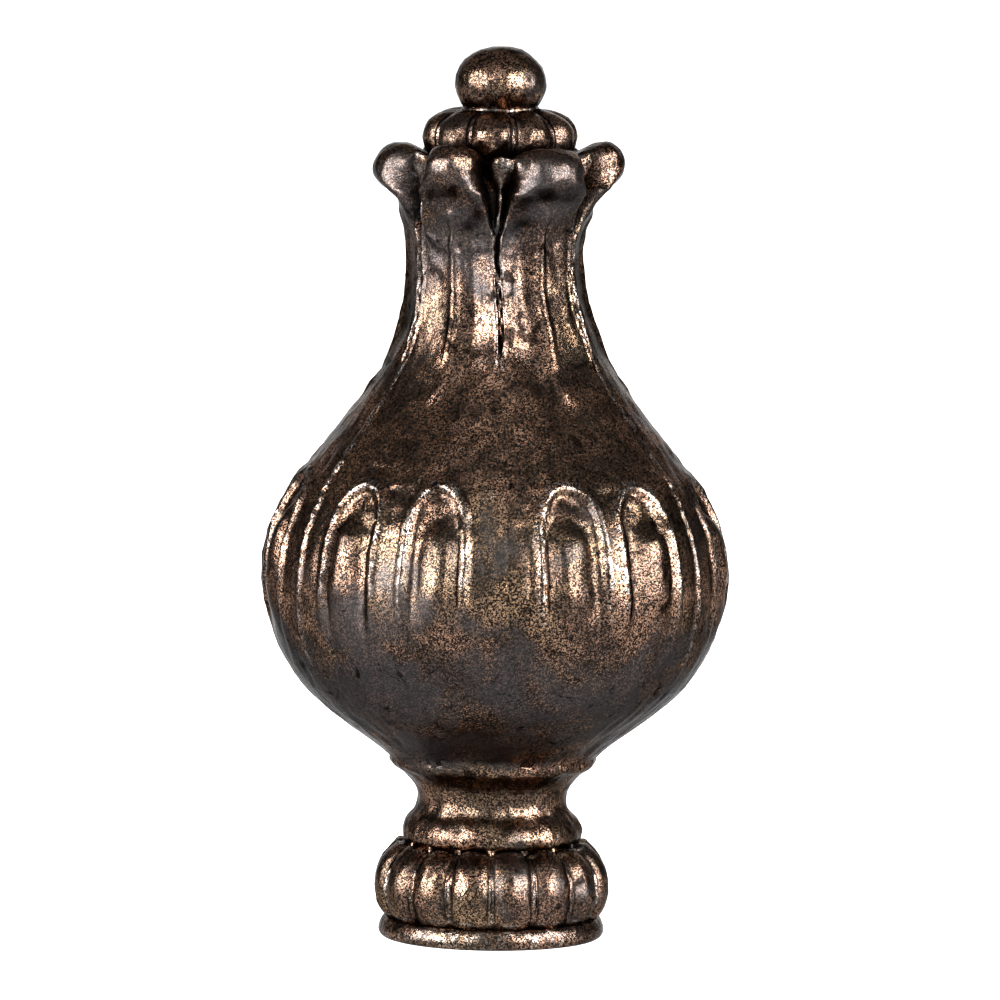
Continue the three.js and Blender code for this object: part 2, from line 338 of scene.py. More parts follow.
class Curves:
    """The two groups that draw curves: a cubic Bezier, and a stretch that rounds a corner."""

    CORNER_PULL = 0.57

    def __init__(self) -> None:
        """Builds both groups."""
        self.bezier_group = GroupTree("bezier", {"Point": "NodeSocketVector"})
        titles = ("Start", "Leave", "Arrive", "End")
        controls = [self.bezier_group.input(title, "NodeSocketVector") for title in titles]
        share = self.bezier_group.input("Share")
        while len(controls) > 1:
            controls = [mix_points(start, end, share) for start, end in zip(controls, controls[1:])]
        self.bezier_group.give({"Point": controls[0]})

        self.corner_group = GroupTree("rounded_corner", {"Moved": "NodeSocketVector"})
        start, corner, end = (
            self.corner_group.input(title, "NodeSocketVector") for title in ("Start", "Corner", "End")
        )
        leave = mix_points(start, corner, self.CORNER_PULL)
        arrive = mix_points(end, corner, self.CORNER_PULL)
        point = self.bezier(start, leave, arrive, end, self.corner_group.input("Share"))
        self.corner_group.give({"Moved": vector_math("SUBTRACT", point, start)})

    def bezier(self, start: Field, leave: Field, arrive: Field, end: Field, share: Field) -> Field:
        """The point at a share of the way along a cubic Bezier curve."""
        inputs = {"Start": start, "Leave": leave, "Arrive": arrive, "End": end, "Share": share}
        return self.bezier_group.used_in(start.tree, inputs)[0]

    def profile(self, share: Field, start: Point, *stretches: tuple[Point, Point]) -> list[Field]:
        """Follows a path of rounded corners: each stretch leaves towards a corner and arrives from it.

        Args:
            share: From 0 at the start to 1 at the end; every stretch takes an equal part.
            start: The first point, in radius and level.
            *stretches: The corner and the end of each stretch.

        Returns:
            The radius and the level there.
        """
        tree = share.tree
        count = len(stretches)
        here = point_at(*start, tree)
        spot = here
        for step, (corner, end) in enumerate(stretches):
            arrived = point_at(*end, tree)
            inputs = {
                "Start": here,
                "Corner": point_at(*corner, tree),
                "End": arrived,
                "Share": ramp(share, step / count, (step + 1) / count),
            }
            spot = vector_math("ADD", spot, self.corner_group.used_in(tree, inputs)[0])
            here = arrived
        return radius_and_level(spot)


class Spot(NamedTuple):
    """Where a point of the skin lies, and its crest: above 0 it is worn pale and given a painted highlight,
    below 0 it is darkened with patina and painted shade.
    """

    turn: Number
    radius: Number
    level: Number
    crest: Number = 0.0


@dataclass
class Section:
    """A part of the skin, some rows high, that a rule of its own places. Its fields are its sizes."""

    ROWS = 1

    def place(self, size: SimpleNamespace, curves: Curves, turn: Field, row: Field) -> Spot:
        """Places a point of the section.

        Args:
            size: The section's sizes, as fields of its tree.
            curves: The groups that draw curves.
            turn: The point's angle round the axis.
            row: Its row, from 0 at the section's start to ROWS at its end.

        Returns:
            The place of the point.
        """
        raise NotImplementedError

    def group(self, curves: Curves) -> GroupTree:
        """Builds the section's own tree.

        Args:
            curves: The groups that draw curves.

        Returns:
            A group from the sizes, turn and row to the numbers of a spot.
        """
        group = GroupTree(type(self).__name__, {title: "NodeSocketFloat" for title in Spot._fields})
        size = SimpleNamespace(**{each.name: group.input(each.name) for each in fields(self)})
        spot = self.place(size, curves, group.input("turn"), group.input("row"))
        group.give(spot._asdict())
        return group


class SkinTree(GroupTree):
    """The tree of the whole skin, with a named input for every size of every section."""

    def __init__(self, name: str) -> None:
        """Makes an empty tree.

        Args:
            name: The tree's name.
        """
        super().__init__(name, {"Geometry": "NodeSocketGeometry"})
        self.curves = Curves()
        self.values: dict[str, float] = {}

    def sizes(self, owner: Any) -> dict[str, Field]:
        """Makes a named input for every size of a sub-assembly, in a panel of its own.

        Args:
            owner: The sub-assembly, a dataclass whose fields are its sizes.

        Returns:
            The sizes as fields of this tree, by name.
        """
        heading = type(owner).__name__
        panel = self.tree.interface.new_panel(heading)
        named = {}
        for size in fields(owner):
            title = f"{heading} {size.name.replace('_', ' ')}"
            named[size.name] = self.input(title, panel=panel)
            self.values[named[size.name].socket.identifier] = float(getattr(owner, size.name))
        return named

    def value(self, kind: str) -> Field:
        """The first output of a node that only gives a value."""
        return Field(self.tree, self.tree.nodes.new(kind).outputs[0])

    def mesh(self, kind: str, inputs: Mapping[Any, Any], **options: Any) -> bpy.types.NodeSocket:
        """Adds a node that gives a mesh."""
        return add_node(self.tree, kind, inputs, **options).outputs[0]

    def skin(self, sections: Sequence[Section], columns: int, unit: float) -> bpy.types.NodeSocket:
        """Wraps a grid round the axis, one section after the other.

        Args:
            sections: The sections, in the order of their rows.
            columns: How many faces go round the axis.
            unit: Metres in a millimetre of the model.

        Returns:
            The skin, still open along its first column.
        """
        rows = sum(section.ROWS + 1 for section in sections)
        counts = {"Size X": 1.0, "Size Y": 1.0, "Vertices X": columns + 1, "Vertices Y": rows}
        grid = self.mesh("GeometryNodeMeshGrid", counts)
        across, along = radius_and_level(self.value("GeometryNodeInputPosition"))
        turn = (across + 0.5) * FULL_TURN
        row = (along + 0.5) * (rows - 1)
        first = 0
        spot: list[Field] = []
        for section in sections:
            inputs = {**self.sizes(section), "turn": turn, "row": row - first}
            placed = section.group(self.curves).used_in(self.tree, inputs)
            spot = choose(row, first, spot, placed) if spot else placed
            first += section.ROWS + 1
        placed = Spot(*spot)
        # The crest attribute carries wear with painted highlights above 0, and patina with painted shade
        # below 0, to the material.
        marked = {"Geometry": grid, "Name": CREST, "Value": placed.crest}
        grid = self.mesh("GeometryNodeStoreNamedAttribute", marked, data_type="FLOAT", domain="POINT")
        position = self.round_axis(placed, unit)
        return self.mesh("GeometryNodeSetPosition", {"Geometry": grid, "Position": position})

    def round_axis(self, spot: Spot, unit: float) -> Field:
        """The position of a point that is given by its turn, radius and level.

        Args:
            spot: The point.
            unit: Metres in a millimetre of the model.

        Returns:
            The position in metres.
        """
        angle = calculate("RADIANS", spot.turn)
        reach = spot.radius * unit
        parts = {
            "X": reach * calculate("SINE", angle),
            "Y": reach * calculate("COSINE", angle) * -1.0,
            "Z": spot.level * unit,
        }
        return Field(self.tree, add_node(self.tree, "ShaderNodeCombineXYZ", parts).outputs[0])


# Sub-assemblies of the casting, from the bottom up

@dataclass
class ScrewHole(Section):
    """The blind tapped hole in the underside, with its thread, chamfered mouth and the sole round it."""

    radius: float = 3.25
    depth: float = 9.5
    drill_point: float = 1.3
    chamfer: float = 0.5
    thread_pitch: float = 0.94
    thread_depth: float = 0.45
    runout: float = 1.0

    COLUMNS = 48
    POINT_ROWS = 2
    WALL_ROWS = 60
    ROWS = POINT_ROWS + WALL_ROWS + 1

    def place(self, size: SimpleNamespace, curves: Curves, turn: Field, row: Field) -> Spot:
        """Places a point of the drilled point, the threaded wall or the mouth, from the inside out.

        Args:
            size: The section's sizes, as fields of its tree.
            curves: The groups that draw curves; not used here.
            turn: The point's angle round the axis.
            row: Its row in the section.

        Returns:
            The place of the point.
        """
        down_point = ramp(row, 0.0, self.POINT_ROWS)
        down_wall = ramp(row, self.POINT_ROWS, self.POINT_ROWS + self.WALL_ROWS)
        down_mouth = ramp(row, self.ROWS - 1, self.ROWS)
        point_level = size.depth + size.drill_point * (1.0 - down_point)
        level = point_level + (size.chamfer - size.depth) * down_wall - size.chamfer * down_mouth
        winding = calculate("FRACT", level / size.thread_pitch + turn / FULL_TURN)
        cut = ease(0.0, 1.0, size.depth - level, 0.0, size.runout)
        ridge = size.thread_depth * (1.0 - cut + bump(winding, 0.5, 0.5) * cut)
        radius = (size.radius - ridge * (1.0 - down_mouth) + size.chamfer * down_mouth) * down_point
        # Painted shade: below its mouth the hole gets a crest of -0.7, which darkens its inside nearly to
        # black.
        return Spot(turn, radius, level, down_mouth * 0.7 - 0.7)

    def sole(self, tree: SkinTree, outer_radius: float, columns: int, unit: float) -> bpy.types.NodeSocket:
        """The flat ring between the mouth and the rim.

        Args:
            tree: The tree to build in.
            outer_radius: Where the rim starts.
            columns: How many faces the rim has.
            unit: Metres in a millimetre of the model.

        Returns:
            The ring, facing down.
        """
        circles = tree.tree.nodes.new("GeometryNodeJoinGeometry")
        for radius, count in ((self.radius + self.chamfer, self.COLUMNS), (outer_radius, columns)):
            inputs = {"Resolution": count, "Radius": unit * radius}
            tree.tree.links.new(tree.mesh("GeometryNodeCurvePrimitiveCircle", inputs), circles.inputs[0])
        filled = tree.mesh("GeometryNodeFillCurve", {0: circles.outputs[0]})
        return tree.mesh("GeometryNodeFlipFaces", {0: filled})


def lobes_round(
    turn: Field,
    count: Number,
    first: Number,
    roundness: Number,
    crease: Sequence[Field],
    crest: Sequence[Field],
) -> list[Field]:
    """Places a point on a ring of round lobes.

    Args:
        turn: The point's angle round the axis.
        count: How many lobes there are.
        first: The angle of a lobe's middle.
        roundness: How full a lobe's section is.
        crease: Radius and level in the crease between two lobes.
        crest: Radius and level on the middle of a lobe.

    Returns:
        The radius and level at the turn.
    """
    pitch = FULL_TURN / count
    offset = from_middle(turn, first, pitch) / (pitch / 2)
    swell = 1.0 - offset ** roundness
    return [blend(low, high, swell) for low, high in zip(crease, crest)]


@dataclass
class GadroonedFoot(Section):
    """The rounded rim that the finial stands on and the ring of round lobes over it."""

    radius: float = 8.05
    edge: float = 0.5
    rim_height: float = 1.5
    lobes: float = 16
    lobe_radius: float = 8.5
    lobe_level: float = 3.75
    lobe_top: float = 6.9
    lobe_roundness: float = 2.2
    lobe_fullness: float = 0.6
    seat_radius: float = 6.42
    crease: float = 0.62
    sink: float = 0.34
    fillet_height: float = 0.38
    fillet_reach: float = 0.2
    edge_height: float = 0.12

    # The rim is worn pale all round through this crest, which also paints a highlight along it.
    RIM_CREST = 0.6
    RIM_ROWS = 8
    LOBE_PACE = ((14, 0.88), (8, 1.0))
    ROWS = RIM_ROWS + 1 + sum(rows for rows, _ in LOBE_PACE)

    @property
    def sole_radius(self) -> float:
        """Where the flat underside ends."""
        return self.radius - self.edge

    def place(self, size: SimpleNamespace, curves: Curves, turn: Field, row: Field) -> Spot:
        """Places a point of the rim or, above it, of the lobes.

        Args:
            size: The section's sizes, as fields of its tree.
            curves: The groups that draw curves.
            turn: The point's angle round the axis.
            row: Its row in the section.

        Returns:
            The place of the point.
        """
        sole = size.radius - size.edge
        rim = curves.profile(
            ramp(row, 0.0, self.RIM_ROWS),
            (sole, 0.0),
            ((size.radius, 0.0), (size.radius, size.rim_height * 0.35)),
            ((size.radius - 0.1, size.rim_height), (sole, size.rim_height)),
        )
        up_lobe = pace(row, self.RIM_ROWS + 1, self.LOBE_PACE)

        def side(inset: Number, drop: Number) -> list[Field]:
            """The profile of a lobe's crest, or of the crease beside it.

            Args:
                inset: How far it lies inside the crest.
                drop: How far its top lies below the crest's.

            Returns:
                The radius and the level.
            """
            widest = size.lobe_radius - inset
            top = size.lobe_top - drop
            return curves.profile(
                up_lobe,
                (sole - drop, size.rim_height),
                ((widest, size.rim_height + size.lobe_fullness), (widest, size.lobe_level)),
                ((widest, top - size.lobe_fullness), (size.seat_radius - drop, top)),
            )

        crest = side(0.0, 0.0)
        crease = side(size.crease, size.sink)
        pitch = FULL_TURN / size.lobes
        radius, level = lobes_round(turn, size.lobes, pitch / 2, size.lobe_roundness, crease, crest)
        to_crease = calculate("RADIANS", from_middle(turn, 0.0, pitch)) * size.lobe_radius
        # The fillets are worn pale through the crest, which also paints highlights in the creases.
        fillet = bump(to_crease, 0.0, size.fillet_reach) * bump(up_lobe, 0.5, 0.55)
        # A painted highlight: a bright line along the lobes' top edge, which also rises a little.
        edge = bump(up_lobe, 0.94, 0.045)
        # A painted highlight: a bright band across the lobes' bottoms.
        foot = bump(up_lobe, 0.1, 0.09)
        # Painted shade: a dark band beside each fillet.
        beside = bump(to_crease, size.fillet_reach * 1.4, size.fillet_reach)
        # Painted shade: the crevice where the lobes meet the rim is darkened.
        crevice_shade = ease(1.0, 0.0, up_lobe, 0.0, 0.05)
        lobes = [
            radius + size.fillet_height * fillet,
            level + size.edge_height * edge,
            fillet * 1.9 + edge * 1.8 + foot - beside * 0.7 - crevice_shade * 0.5,
        ]
        return Spot(turn, *choose(row, self.RIM_ROWS + 1, [*rim, self.RIM_CREST], lobes))


@dataclass
class CoveAndFlange(Section):
    """The half-round ring, the cove above it and the flange under the body."""

    seat_radius: float = 6.1
    seat_level: float = 6.9
    ring_radius: float = 6.42
    ring_level: float = 7.55
    fillet_radius: float = 5.72
    fillet_level: float = 8.9
    cove_radius: float = 5.3
    cove_level: float = 9.95
    throat_radius: float = 6.85
    throat_level: float = 12.1
    flange_radius: float = 7.36
    flange_level: float = 12.75

    ROWS = 26

    def place(self, size: SimpleNamespace, curves: Curves, turn: Field, row: Field) -> Spot:
        """Places a point of the turned mouldings.

        Args:
            size: The section's sizes, as fields of its tree.
            curves: The groups that draw curves.
            turn: The point's angle round the axis.
            row: Its row in the section.

        Returns:
            The place of the point.
        """
        path = curves.profile(
            ramp(row, 0.0, self.ROWS),
            (size.seat_radius, size.seat_level),
            ((size.ring_radius, size.seat_level), (size.ring_radius, size.ring_level)),
            ((size.ring_radius, size.ring_level + 0.75), (size.fillet_radius, size.fillet_level)),
            ((size.cove_radius, size.cove_level - 0.6), (size.cove_radius, size.cove_level)),
            ((size.cove_radius, size.throat_level - 0.85), (size.throat_radius, size.throat_level)),
            ((size.flange_radius, size.throat_level + 0.3), (size.flange_radius, size.flange_level)),
        )
        return Spot(turn, *path)


@dataclass
class LeafCarving(Section):
    """What the leaves have in common on the neck and in the crown: where they lie and how they are carved."""

    leaves: float = 6
    leaf_turn: float = 32
    crown_radius: float = 6.2
    crown_level: float = 50.3
    carving_foot: float = 17.5
    carving_start: float = 37.5
    carving_full: float = 43
    seam_start: float = 40.3
    carving_fading: float = 50.2
    carving_end: float = 53
    trough_angle: float = 13
    trough_reach: float = 12.5
    trough_depth: float = 0.44
    trough_shallow: float = 0.25
    seam_angle: float = 25.5
    seam_depth: float = 0.15
    shoulder_seam: float = 0.1
    seam_spread: float = 1.7
    lip_height: float = 0.22
    lip_place: float = 0.27
    lip_reach: float = 0.22
    groove_depth: float = 0.14
    groove_reach: float = 0.14
    midrib_height: float = 0.26
    midrib_reach: float = 0.5
    midrib_end: float = 39.6

    def leaf_number(self, size: SimpleNamespace, turn: Field) -> Field:
        """Which leaf a turn lies on, counted from the front right one."""
        return calculate("ROUND", (turn - size.leaf_turn) * size.leaves / FULL_TURN)

    def breadth(self, number: Field) -> Field:
        """1 on the broad leaves and -1 on the narrow ones between them."""
        return 1.0 - calculate("PINGPONG", number, 1.0) * 2

    def trough_share(self, size: SimpleNamespace, turn: Field) -> Field:
        """How deep a leaf's trough is: full towards every second seam, shallow towards the others.

        Args:
            size: The section's sizes.
            turn: The turn.

        Returns:
            The share of the full depth.
        """
        number = self.leaf_number(size, turn)
        signed = turn - size.leaf_turn - number * FULL_TURN / size.leaves
        return ease(1.0, size.trough_shallow, signed * self.breadth(number), -4.0, 4.0)

    def carving(
        self,
        size: SimpleNamespace,
        turn: Field,
        offset: Field,
        half_width: Number,
        radius: Field,
        level: Field,
        seam_share: Number = 1.0,
    ) -> tuple[Field, Field]:
        """The leaves' relief: each seam is a ridge that splits into two lips up the neck.

        Args:
            size: The section's sizes.
            turn: The turn.
            offset: The angle from the midrib of the leaf.
            half_width: Half the angle that the leaf takes up.
            radius: The radius of the plain body.
            level: The level.
            seam_share: How much of the seams is left below the neck.

        Returns:
            The height over the plain body, and the crests and grooves.
        """
        rising = ease(0.0, 1.0, level, size.carving_start, size.carving_full)
        fading = ease(1.0, 0.0, level, size.carving_fading, size.carving_end)
        low = ease(0.0, 1.0, level, size.carving_foot, size.carving_foot + 6.0)
        to_seam = calculate("RADIANS", half_width - offset) * radius
        along = calculate("RADIANS", offset) * radius
        hollow = bump(offset, size.trough_angle, size.trough_reach) * self.trough_share(size, turn)
        trough = rising * size.trough_depth * hollow
        seam = blend(size.shoulder_seam, size.seam_depth, rising) * low
        fall = seam * ease(0.0, 1.0, offset, size.seam_angle, FULL_TURN / 2 / size.leaves)
        split = ease(0.0, 1.0, level, size.seam_start, size.carving_full)
        lips = bump(to_seam, size.lip_place * split, size.lip_reach * blend(size.seam_spread, 1.0, split))
        groove = bump(to_seam, 0.0, size.groove_reach) * split
        thin = blend(seam_share, 1.0, split) * low
        ribbed = ease(0.0, 1.0, level, size.midrib_end, size.carving_full)
        midrib = ribbed * bump(along, 0.0, size.midrib_reach)
        edges = thin * (size.lip_height * lips - size.groove_depth * groove)
        height = fading * (edges + size.midrib_height * midrib - trough - fall)
        # The lips and the midrib are worn pale, which also paints highlights; the groove between the lips is
        # darkened with patina and painted shade.
        return height, fading * (thin * (lips * 1.5 - groove * 1.2) + midrib * 0.4)


@dataclass
class LeafedBody(LeafCarving):
    """The onion-shaped body: leaves whose seams run up the neck, and a pair of arched lobes under each."""

    bottom_radius: float = 7.36
    bottom_level: float = 12.95
    spread_radius: float = 3.27
    spread_level: float = 3.1
    belly_radius: float = 16.3
    belly_level: float = 25.5
    belly_reach_down: float = 7.6
    belly_reach_up: float = 9.9
    waist_radius: float = 6.07
    waist_level: float = 48.6
    waist_reach: float = 11.1
    flare_reach: float = 0.9
    flare: float = 0.07
    bud_height: float = 0.22
    bud_width: float = 0.7
    bud_length: float = 1.1
    arch_angle: float = 11.6
    arch_half_width: float = 8.3
    arch_breadth: float = 0.45
    arch_spring: float = 30.7
    arch_top: float = 33.4
    arch_foot: float = 20.5
    arch_fade: float = 7
    arch_wander: float = 0.35
    arch_seed: float = 7
    bead_height: float = 0.34
    bead_reach: float = 0.32
    lobe_height: float = 0.5
    lobe_drop: float = 1.5
    lobe_lean: float = 0.22
    valley_depth: float = 0.26
    valley_share: float = 0.72
    lobe_squareness: float = 2.0
    strip_height: float = 0.14
    front_seam: float = 0.2
    wobble: float = 0.09
    column_gather: float = 0.6

    GATHERINGS = 7
    LOWER_PACE = ((16, 1.0),)
    UPPER_PACE = ((7, 0.15), (28, 0.41), (26, 1.0))
    NECK_ROWS = 7
    LOWER_ROWS = sum(rows for rows, _ in LOWER_PACE)
    UPPER_ROWS = sum(rows for rows, _ in UPPER_PACE)
    ROWS = LOWER_ROWS + UPPER_ROWS + NECK_ROWS

    def place(self, size: SimpleNamespace, curves: Curves, turn: Field, row: Field) -> Spot:
        """Places a point of the lower belly, the shoulder or the neck, carved.

        Args:
            size: The section's sizes, as fields of its tree.
            curves: The groups that draw curves.
            turn: The point's angle round the axis.
            row: Its row in the section.

        Returns:
            The place of the point.
        """
        radius, level = radius_and_level(self.plain_body(size, curves, row))
        turn = self.gathered(size, turn, level)
        half_width = FULL_TURN / 2 / size.leaves
        offset = from_middle(self.wobbled(size, turn, radius, level), size.leaf_turn, half_width * 2)
        from_front = from_middle(turn, size.leaf_turn - half_width, FULL_TURN)
        worn = ease(size.front_seam, 1.0, from_front, 15.0, 45.0)
        relief, seams = self.carving(size, turn, offset, half_width, radius, level, worn)
        lobes, rims = self.arches(size, turn, level)
        bud = self.bud(size, calculate("RADIANS", offset) * radius, level)
        # The bud is worn pale, which also paints a highlight on it.
        return Spot(turn, radius + relief + lobes + bud * size.bud_height, level, seams + rims + bud * 0.5)

    def plain_body(self, size: SimpleNamespace, curves: Curves, row: Field) -> Field:
        """The body's outline under its carving, with more rows where the carving is fine.

        Args:
            size: The section's sizes.
            curves: The groups that draw curves.
            row: The row.

        Returns:
            The point of the outline.
        """
        tree = row.tree
        bottom = point_at(size.bottom_radius, size.bottom_level, tree)
        spread = point_at(
            size.bottom_radius + size.spread_radius, size.bottom_level + size.spread_level, tree
        )
        under = point_at(size.belly_radius, size.belly_level - size.belly_reach_down, tree)
        belly = point_at(size.belly_radius, size.belly_level, tree)
        over = point_at(size.belly_radius, size.belly_level + size.belly_reach_up, tree)
        below = point_at(size.waist_radius, size.waist_level - size.waist_reach, tree)
        waist = point_at(size.waist_radius, size.waist_level, tree)
        top = point_at(size.crown_radius, size.crown_level, tree)
        lower = curves.bezier(bottom, spread, under, belly, pace(row, 0, self.LOWER_PACE))
        upper = curves.bezier(belly, over, below, waist, pace(row, self.LOWER_ROWS, self.UPPER_PACE))
        above = point_at(size.waist_radius, size.waist_level + size.flare_reach, tree)
        near = point_at(size.crown_radius - size.flare, size.crown_level - size.flare_reach, tree)
        neck = curves.bezier(waist, above, near, top, ramp(row, self.ROWS - self.NECK_ROWS, self.ROWS))
        halves = vector_math("ADD", lower, vector_math("SUBTRACT", upper, belly))
        return vector_math("ADD", halves, vector_math("SUBTRACT", neck, waist))

    def gathered(self, size: SimpleNamespace, turn: Field, level: Field) -> Field:
        """A turn moved towards the nearest rim of an arch on the belly, or the nearest seam on the neck.

        Args:
            size: The section's sizes.
            turn: The turn of an even column.
            level: The level.

        Returns:
            The turn that the column takes.
        """
        belly_end = size.carving_start + 2.0
        on_belly = ease(0.0, 1.0, level, size.arch_foot - 3.0, size.arch_foot + size.arch_fade) * ease(
            1.0, 0.0, level, size.arch_top + 1.5, belly_end
        )
        on_neck = ease(0.0, 1.0, level, belly_end, size.carving_full) * ease(
            1.0, 0.0, level, size.crown_level - 2.5, size.crown_level
        )
        from_leaf = calculate("RADIANS", (turn - size.leaf_turn) * size.leaves)
        for where, places in ((on_belly, self.GATHERINGS), (on_neck, 1)):
            pull = size.column_gather * where * calculate("SINE", from_leaf * places)
            turn = turn + pull * (FULL_TURN / (2 * math.pi * places)) / size.leaves
        return turn

    def wobbled(self, size: SimpleNamespace, turn: Field, radius: Field, level: Field) -> Field:
        """A turn shifted to and fro along the height, so that the seams and midribs waver.

        Args:
            size: The section's sizes.
            turn: The turn.
            radius: The radius of the plain body.
            level: The level.

        Returns:
            The shifted turn.
        """
        waves = calculate("SINE", level * 4.7) + calculate("SINE", level * 10.3) * 0.6
        free = ease(1.0, 0.0, level, size.crown_level - 2.5, size.crown_level)
        return turn + calculate("DEGREES", waves * free * size.wobble / radius)

    def bud(self, size: SimpleNamespace, along: Field, level: Field) -> Field:
        """The small bud that a midrib ends in.

        Args:
            size: The section's sizes.
            along: The distance from the midrib, along the skin.
            level: The level.

        Returns:
            1 on the middle of the bud and 0 beside it.
        """
        far_across = along / size.bud_width
        far_up = (level - size.midrib_end) / size.bud_length
        from_bud = calculate("SQRT", far_across * far_across + far_up * far_up)
        return bump(from_bud, 0.0, 1.0)

    def arches(self, size: SimpleNamespace, turn: Field, level: Field) -> tuple[Field, Field]:
        """The arched lobes: the bead of their rims, the valley inside and the lobe in it.

        Args:
            size: The section's sizes.
            turn: The turn.
            level: The level.

        Returns:
            The height over the plain body, and the crests and grooves.
        """
        number = self.leaf_number(size, turn)
        signed = turn - size.leaf_turn - number * FULL_TURN / size.leaves
        wander = self.wander(size, number * 2 + calculate("GREATER_THAN", signed, 0.0))
        broad = self.breadth(number) * size.arch_breadth
        middle = size.arch_angle - broad
        half_width = size.arch_half_width + broad
        offset = calculate("ABSOLUTE", signed)
        across = (offset - middle - wander) / half_width
        top = size.arch_top + wander
        from_centre = self.from_arch(across, level, size.arch_spring, top)
        leaning = across - size.lobe_lean * (1.0 - calculate("MINIMUM", across * across, 1.0))
        from_lobe = self.from_arch(leaning, level, size.arch_spring - size.lobe_drop, top - size.lobe_drop)
        fade = ease(0.0, 1.0, level, size.arch_foot, size.arch_foot + size.arch_fade)
        inside = calculate("MINIMUM", from_lobe / size.valley_share, 1.0)
        lobe = blend(size.lobe_height, size.valley_depth * -1.0, inside ** size.lobe_squareness)
        floor = ease(0.0, 1.0, from_centre, size.valley_share, 1.0) * size.valley_depth
        bead = bump(from_centre, 1.0, size.bead_reach)
        valley = bump(from_centre, size.valley_share, 1.0 - size.valley_share)
        between = 1.0 - calculate("MINIMUM", offset / (middle - half_width), 1.0) ** 2
        strip = size.strip_height * between * ease(1.0, 0.0, level, size.arch_spring - 3.0, size.arch_top)
        # The rims' beads are worn pale, which also paints highlights; the valleys inside them are darkened
        # with patina and painted shade.
        return fade * (lobe + floor + size.bead_height * bead + strip), fade * (bead - valley * 0.5)

    @staticmethod
    def from_arch(across: Field, level: Field, spring: Number, top: Number) -> Field:
        """How far a point lies from the middle of an arch, 1 on its line.

        Args:
            across: The distance from the middle line of the arch, 1 at its side.
            level: The level.
            spring: The level that the arch springs from.
            top: The level of its top.

        Returns:
            The share.
        """
        rise = calculate("MAXIMUM", (level - spring) / (top - spring), 0.0)
        return calculate("SQRT", across * across + rise * rise)

    def wander(self, size: SimpleNamespace, number: Field) -> Field:
        """How much one of the arches differs from the others, from a fixed seed.

        Args:
            size: The section's sizes.
            number: The arch's number.

        Returns:
            The difference, in degrees across and millimetres up.
        """
        tree = number.tree
        node = tree.nodes.new("FunctionNodeRandomValue")
        by_name = {socket.identifier: socket for socket in node.inputs}
        plug(tree, by_name["Min_001"], size.arch_wander * -1.0)
        plug(tree, by_name["Max_001"], size.arch_wander)
        plug(tree, by_name["ID"], number)
        plug(tree, by_name["Seed"], size.arch_seed)
        return Field(tree, next(output for output in node.outputs if output.enabled))


